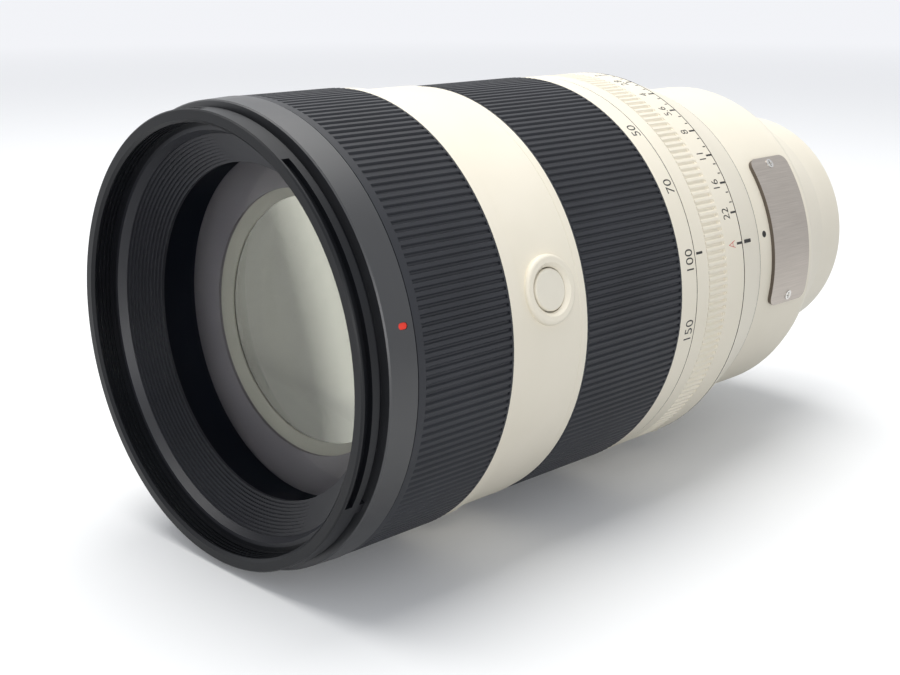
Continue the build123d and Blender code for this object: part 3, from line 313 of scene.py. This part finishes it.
def lens_normal(tree, radius, front_middle, front_sag, rear_middle, rear_sag):
    """True directions of a glass's two spherical faces, whose meshes pinch where they meet the axis."""
    surface = tree.nodes.new("ShaderNodeNewGeometry").outputs
    faces = []
    for middle, sag, side in ((front_middle, front_sag, 1), (rear_middle, rear_sag, -1)):
        ball = (radius ** 2 + sag ** 2) / (2 * sag)
        centre = (0, front_rim + (middle + ball) * MM, 0)
        outward = vectors(tree, "NORMALIZE", vectors(tree, "SUBTRACT", coordinates(tree), centre))
        faces.append(vectors(tree, "SCALE", outward, scale=math.copysign(1, side * ball)))
    front_edge = front_middle + max(front_sag, 0)
    rear_edge = rear_middle + min(rear_sag, 0)
    direction = changed(tree, behind(tree, (front_edge + rear_edge) / 2), *faces)
    flipped = maths(tree, "ADD", maths(tree, "MULTIPLY", surface["Backfacing"], -2.0), 1.0)
    direction = vectors(tree, "SCALE", direction, scale=flipped)
    on_edge = maths(tree, "LESS_THAN", facing_along(tree), face_facing)
    return changed(tree, on_edge, direction, surface["Normal"])


def glass(name, colour, normal_of=None, tint=None):
    """Clear glass; with a lens's faces given, it takes their true directions."""
    material, tree, shader = new_material(name)
    shader.inputs["Base Color"].default_value = colour
    shader.inputs["IOR"].default_value = glass_ior
    shader.inputs["Transmission Weight"].default_value = 1.0
    normal = None
    if normal_of:
        normal = lens_normal(tree, *normal_of)
        tree.links.new(normal, shader.inputs["Normal"])
        shader.inputs["Specular Tint"].default_value = tint
    return material, tree, shader, normal


def filmed_glass(name, colour, film_nm, normal_of=None, tint=None):
    """Glass with a thin anti-reflection film whose thickness drifts a little over the surface."""
    material, tree, shader, _ = glass(name, colour, normal_of, tint)
    shader.inputs["Roughness"].default_value = 0.0
    shader.inputs["Thin Film IOR"].default_value = film_ior
    drift = spread(tree, noise(tree, 12.0), film_nm * 0.97, film_nm * 1.03)
    tree.links.new(drift, shader.inputs["Thin Film Thickness"])
    return material


def mirror_coating():
    """Greenish glass whose film mirrors more of the light towards a slant."""
    material, tree, shader, normal = glass(
        "second_coating", coating_colour, second_glass_faces, second_reflection
    )
    slant = tree.nodes.new("ShaderNodeLayerWeight")
    slant.inputs["Blend"].default_value = 0.5
    tree.links.new(normal, slant.inputs["Normal"])
    share = spread(tree, slant.outputs["Facing"], *mirror_shares, *mirror_slants)
    tree.links.new(share, shader.inputs["Metallic"])
    tree.links.new(spread(tree, noise(tree, 40.0), 0.03, 0.05), shader.inputs["Roughness"])
    return material


def ring_paint():
    """Cream paint with painted shade: the faces in the gaps between rings that don't look to the rear, and
    thin lines at two rear edges, are painted dark where shade falls between the parts.
    """
    material = coated(
        "white_paint", linear(232, 225, 208), linear(236, 229, 213), (0.42, 0.5), 4200, 0.006, specular=0.4
    )
    tree = material.node_tree
    shader = tree.nodes["Principled BSDF"]
    paint = shader.inputs["Base Color"].links[0].from_socket
    gap_shade = 0.0
    # Painted shade: faces in the gaps between rings turn dark, as the shade that falls between the parts
    for stations, least in ((gap_stations, end_facing), (band_gaps, slope_facing)):
        sloped = maths(tree, "GREATER_THAN", facing_along(tree), least)
        for station in stations:
            gap = maths(tree, "MULTIPLY", near(tree, station, gap_reach), sloped)
            gap_shade = maths(tree, "MAXIMUM", gap, gap_shade)
    # Painted shadow lines along the rear edges of the focus ring's flange and of the shoulder
    for station, reach in rear_edge_shade_lines:
        gap_shade = maths(tree, "MAXIMUM", near(tree, station, reach), gap_shade)
    # Faces that look to the rear keep the cream paint, so the painted shade shows only from the front
    gap_shade = maths(tree, "MULTIPLY", gap_shade, maths(tree, "LESS_THAN", along_normal(tree), rear_facing))
    tree.links.new(blended(tree, gap_shade, paint, gap_shade_colour), shader.inputs["Base Color"])
    return material


def tube_metal():
    """Front tube: grey web and lip, a bevel inside the lip and an inner step painted lighter as painted
    light, black from there on.
    """
    material = coated(
        "tube_metal", linear(120, 116, 121), linear(126, 122, 127), (0.5, 0.6), 4000, 0.004, specular=0.3
    )
    tree = material.node_tree
    shader = tree.nodes["Principled BSDF"]
    colour = shader.inputs["Base Color"].links[0].from_socket
    # Painted light: the bevel and the inner step are painted lighter from their stations on
    for station, paint in tube_paints_and_painted_light.items():
        colour = blended(tree, behind(tree, station), colour, paint)
    tree.links.new(colour, shader.inputs["Base Color"])
    return material


# A glass's faces: radius, then middle and sag of the front face, middle and sag of the rear face
front_glass_faces = (43.4, 17.6, 7.0, 28.5, 1.5)
second_glass_faces = (33.0, 36.5, -4.6, 40.9, -2.0)
face_facing = 0.5
glass_ior = 1.52
film_ior = 1.38
front_reflection = (0.3, 0.34, 0.36, 1)
second_reflection = (0.5, 0.5, 0.5, 1)
coating_colour = (0.55, 0.54, 0.47, 1)
mirror_shares = (0.25, 0.9)
mirror_slants = (0.4, 0.5)

# Painted shade on the white rings: gaps between their ends, sloped gaps beside the band, and painted
# shadow lines at thin rear edges
gap_stations = (105.1, 109.85, 124.85, 138.25, 168.35)
band_gaps = (43.95, 62.3)
gap_reach = 0.25
# Painted shadow lines: station and reach of the dark line at each rear edge
rear_edge_shade_lines = ((43.72, 0.1), (137.95, 0.17))
end_facing = 0.9
slope_facing = 0.25
rear_facing = 0.5
# Colour of the painted shade in the gaps and along the rear edges
gap_shade_colour = linear(70, 62, 54)

# The tube's bevel and its inner step, painted lighter as painted light on them, and the black behind the
# seat, each from its station to the rear
tube_paints_and_painted_light = {31.02: linear(168, 166, 155), 33.1: linear(196, 194, 182), 33.6: linear(12, 13, 15)}

white_paint = ring_paint()
front_tube_metal = tube_metal()
second_coating = mirror_coating()
rim_black = coated(
    "rim_black", linear(14, 15, 19), linear(18, 20, 24), (0.34, 0.42), 5200, 0.004, specular=0.26
)
satin_black = coated(
    "satin_black", linear(34, 35, 38), linear(40, 41, 44), (0.34, 0.42), 5200, 0.004, specular=0.75
)
well_black = coated(
    "well_black", linear(28, 29, 34), linear(34, 35, 41), (0.42, 0.5), 5200, 0.004, specular=0.55
)
deep_black = coated(
    "deep_black", linear(2, 4, 11), linear(4, 7, 15), (0.5, 0.6), 3000, 0.01, specular=0.12
)
rubber = coated(
    "grip_rubber", linear(27, 29, 35), linear(35, 37, 43), (0.5, 0.6), 3600, 0.012, specular=0.4
)
button_cream = coated(
    "button_cream", linear(228, 222, 207), linear(232, 227, 213), (0.45, 0.52), 3000, 0.004, specular=0.4
)
black_plastic = coated(
    "black_plastic", linear(30, 31, 34), linear(38, 39, 42), (0.4, 0.5), 2500, 0.01, specular=0.5
)
seal_rubber = coated(
    "seal_rubber", linear(24, 24, 26), linear(32, 32, 34), (0.6, 0.7), 4000, 0.01, specular=0.3
)
chrome = coated(
    "flange_chrome", linear(196, 194, 190), linear(214, 212, 208), (0.2, 0.32), 900, 0.002, metallic=1.0
)
gold = coated(
    "contact_gold", linear(214, 172, 92), linear(230, 190, 112), (0.18, 0.28), 1500, 0.002, metallic=1.0
)
steel = coated(
    "small_steel", linear(196, 194, 190), linear(216, 214, 210), (0.2, 0.3), 2500, 0.003, metallic=1.0
)
blade_steel = coated(
    "blade_steel", linear(40, 40, 43), linear(52, 52, 55), (0.35, 0.45), 2000, 0.003, metallic=0.6
)
front_coating = filmed_glass(
    "front_coating", (0.97, 0.98, 0.97, 1), 105.0, front_glass_faces, front_reflection
)
inner_coating = filmed_glass("inner_coating", (0.6, 0.66, 0.6, 1), 340.0)


def brushed_metal():
    """Warm silver metal, brushed along the lens; the plate's side faces carry painted shade."""
    material, tree, shader = new_material("plate_metal")
    strokes = noise(tree, 900.0, 4.0, (6.0, 0.12, 6.0))
    face = ramp(tree, strokes, linear(166, 158, 150), linear(182, 174, 166))
    # Painted shade: faces that don't look straight out, the plate's sides, turn darker
    edge = maths(tree, "LESS_THAN", facing_out(tree), plate_facing)
    tree.links.new(blended(tree, edge, face, linear(112, 104, 97)), shader.inputs["Base Color"])
    tree.links.new(spread(tree, strokes, 0.3, 0.4), shader.inputs["Roughness"])
    shader.inputs["Metallic"].default_value = 0.85
    bump(tree, strokes, shader, 0.002)
    return material


def ink(name, low, high):
    """Printed or filled paint."""
    return coated(name, low, high, (0.4, 0.5), 6000, 0.002, specular=0.35, cloud=400.0)


plate_facing = 0.95
plate_metal = brushed_metal()
black_ink = ink("black_ink", linear(26, 25, 25), linear(34, 33, 32))
red_ink = ink("red_ink", linear(200, 92, 80), linear(208, 102, 90))
red_fill = ink("red_fill", linear(232, 52, 38), linear(240, 66, 50))

finishes = {
    rim_black: ("filter_ring",),
    satin_black: ("hood_ring", "clamp_knob"),
    well_black: ("front_baffle",),
    deep_black: (
        "front_retainer", "rear_tube", "zoom_sleeve", "zoom_cell_front", "zoom_cell_rear",
        "focus_cell", "rear_cell", "iris_housing", "iris_drive_ring", "rear_baffle",
    ),
    white_paint: (
        "focus_ring", "button_band", "zoom_ring", "index_ring", "aperture_ring", "shoulder_ring", "collar",
        "tripod_foot", "rear_barrel", "switch_panels",
    ),
    front_tube_metal: ("main_tube",),
    second_coating: ("second_glass",),
    button_cream: ("focus_hold_button_top", "focus_hold_button_left", "focus_hold_button_under"),
    rubber: ("focus_grip", "zoom_grip"),
    black_plastic: (
        "contact_block", "focus_mode_switch", "focus_range_switch", "iris_click_switch",
        "iris_lock_switch",
    ),
    seal_rubber: ("mount_seal",),
    chrome: ("mount_flange",),
    gold: ("contact_pins",),
    steel: ("plate_screws", "mount_screws", "guide_rods", "tripod_bush"),
    blade_steel: tuple(name for name in nodes if name.startswith("iris_blade")),
    plate_metal: ("name_plate",),
    front_coating: ("front_glass",),
    inner_coating: ("zoom_glass_front", "zoom_glass_rear", "focus_glass", "rear_glass"),
}
for material, names in finishes.items():
    for name in names:
        slots = nodes[name].data.materials
        slots.clear()
        slots.append(material)


# Marks: letters and ticks that lie on the rings
def wrap(mesh, station, angle, radius):
    """Lay a flat mesh on a ring: x reads towards smaller angles, y points to the front, z points out."""
    for vertex in mesh.vertices:
        distance = radius + vertex.co.z
        bearing = math.radians(angle) - vertex.co.x / radius
        vertex.co = (
            distance * math.sin(bearing) * MM,
            front_rim + (station - vertex.co.y) * MM,
            distance * math.cos(bearing) * MM,
        )


def place_mark(name, mesh, material, body):
    mark = bpy.data.objects.new(name, mesh)
    bpy.context.scene.collection.objects.link(mark)
    mesh.materials.clear()
    mesh.materials.append(material)
    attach(mark, body)
    return mark


def number(text, station, angle, height, radius, material, body, name, widen=1.0, thin=0.0):
    """A printed number, centred on a place of a ring."""
    letters = bpy.data.curves.new(name, "FONT")
    letters.body = text
    letters.resolution_u = 6
    letters.extrude = 0.5
    letters.offset = -thin
    holder = bpy.data.objects.new(name, letters)
    bpy.context.scene.collection.objects.link(holder)
    bpy.context.view_layer.update()
    mesh = bpy.data.meshes.new_from_object(holder.evaluated_get(bpy.context.evaluated_depsgraph_get()))
    bpy.data.objects.remove(holder)
    low = [min(vertex.co[axis] for vertex in mesh.vertices) for axis in range(3)]
    high = [max(vertex.co[axis] for vertex in mesh.vertices) for axis in range(3)]
    scale = height / (high[1] - low[1])
    for vertex in mesh.vertices:
        vertex.co.x = (vertex.co.x - (low[0] + high[0]) / 2) * scale * widen
        vertex.co.y = (vertex.co.y - (low[1] + high[1]) / 2) * scale
        vertex.co.z = print_height if vertex.co.z > 0 else -print_height
    wrap(mesh, station, angle, radius)
    return place_mark(name, mesh, material, body)


def tick(front, rear, angle, width, radius, material, body, name, slot):
    """A printed line along the lens, from a front to a rear station."""
    mesh = bpy.data.meshes.new(name)
    shape = bmesh.new()
    bmesh.ops.create_cube(shape, size=1.0)
    for vertex in shape.verts:
        vertex.co = (vertex.co.x * width, vertex.co.y * (rear - front), vertex.co.z * 2 * print_height)
    shape.to_mesh(mesh)
    shape.free()
    wrap(mesh, (front + rear) / 2, angle, radius)
    return place_mark(name, mesh, material, body)


def dot(station, angle, length, width, radius, thickness, material, body, name):
    """A round or oblong spot."""
    steps = 40
    rounding = width / 2
    straight = (length - width) / 2
    mesh = bpy.data.meshes.new(name)
    shape = bmesh.new()
    rim = []
    for step in range(steps):
        turn = 2 * math.pi * step / steps
        shift = straight if math.sin(turn) > 0 else -straight
        rim.append(shape.verts.new((rounding * math.cos(turn), rounding * math.sin(turn) + shift, 0)))
    face = shape.faces.new(rim)
    grown = bmesh.ops.extrude_face_region(shape, geom=[face])
    for item in grown["geom"]:
        if isinstance(item, bmesh.types.BMVert):
            item.co.z += thickness
    bmesh.ops.recalc_face_normals(shape, faces=shape.faces)
    shape.to_mesh(mesh)
    shape.free()
    wrap(mesh, station, angle, radius)
    return place_mark(name, mesh, material, body)


print_height = 0.02
mark_slot = "grip_rubber"
digit_thinning = 0.005
zoom_radius = 50.0
zoom_digit_station = 102.8
zoom_digit_height = 2.75
zoom_digits = {"50": 38.1, "70": 57.0, "100": 77.8, "150": 97.4}
for text, angle in zoom_digits.items():
    number(
        text, zoom_digit_station, angle, zoom_digit_height, zoom_radius, black_ink, "zoom_ring",
        "zoom_digit_" + text, thin=digit_thinning,
    )

index_radius = 49.95
zoom_index = (105.8, 108.2)
long_tick_width = 0.6
tick(*zoom_index, top_angle, long_tick_width, index_radius, black_ink, "barrel", "zoom_index", mark_slot)

aperture_radius = 49.9
aperture_digit_station = 120.6
aperture_digit_height = 2.5
aperture_digit_width = 0.87
aperture_tick = (122.6, 124.65)
aperture_third = (123.4, 124.4)
stop_tick_width = 0.5
third_tick_width = 0.28
automatic_width = 0.8
automatic_thinning = 0.02
stop_pitch = 8.9
stops = ("22", "16", "11", "8", "5.6", "4", "2.8", "2")
number(
    "A", aperture_digit_station, top_angle, aperture_digit_height, aperture_radius, red_ink,
    "aperture_ring", "aperture_a", widen=automatic_width, thin=automatic_thinning,
)
tick(
    *aperture_tick, top_angle, long_tick_width, aperture_radius, black_ink, "aperture_ring",
    "aperture_tick_a", mark_slot,
)
for index, text in enumerate(stops):
    stop_angle = top_angle - (index + 1) * stop_pitch
    label = "aperture_digit_" + text.replace(".", "_")
    number(
        text, aperture_digit_station, stop_angle, aperture_digit_height, aperture_radius, black_ink,
        "aperture_ring", label, widen=aperture_digit_width, thin=digit_thinning,
    )
    tick(
        *aperture_tick, stop_angle, stop_tick_width, aperture_radius, black_ink, "aperture_ring",
        label + "_tick", mark_slot,
    )
    if text != stops[-1]:
        for third in (1, 2):
            tick(
                *aperture_third, stop_angle - third * stop_pitch / 3, third_tick_width, aperture_radius,
                black_ink, "aperture_ring", label + "_third_" + str(third), mark_slot,
            )

shoulder_radius = 49.45
aperture_index = (125.1, 129.2)
aperture_index_width = 0.9
tick(
    *aperture_index, top_angle, aperture_index_width, shoulder_radius, black_ink, "barrel",
    "aperture_index", mark_slot,
)

collar_radius = 43.5
collar_dot_station = 144.1
collar_dot_size = 1.7
dot(
    collar_dot_station, top_angle, collar_dot_size, collar_dot_size, collar_radius, print_height,
    black_ink, "collar", "collar_index",
)

hood_ring_radius = 51.35
hood_index_station = 10.35
hood_index_length = 2.1
hood_index_width = 1.3
hood_index_depth = 0.45
hood_index_thickness = 0.35
dot(
    hood_index_station, top_angle, hood_index_length, hood_index_width,
    hood_ring_radius - hood_index_depth, hood_index_thickness, red_fill, "barrel", "hood_index",
)
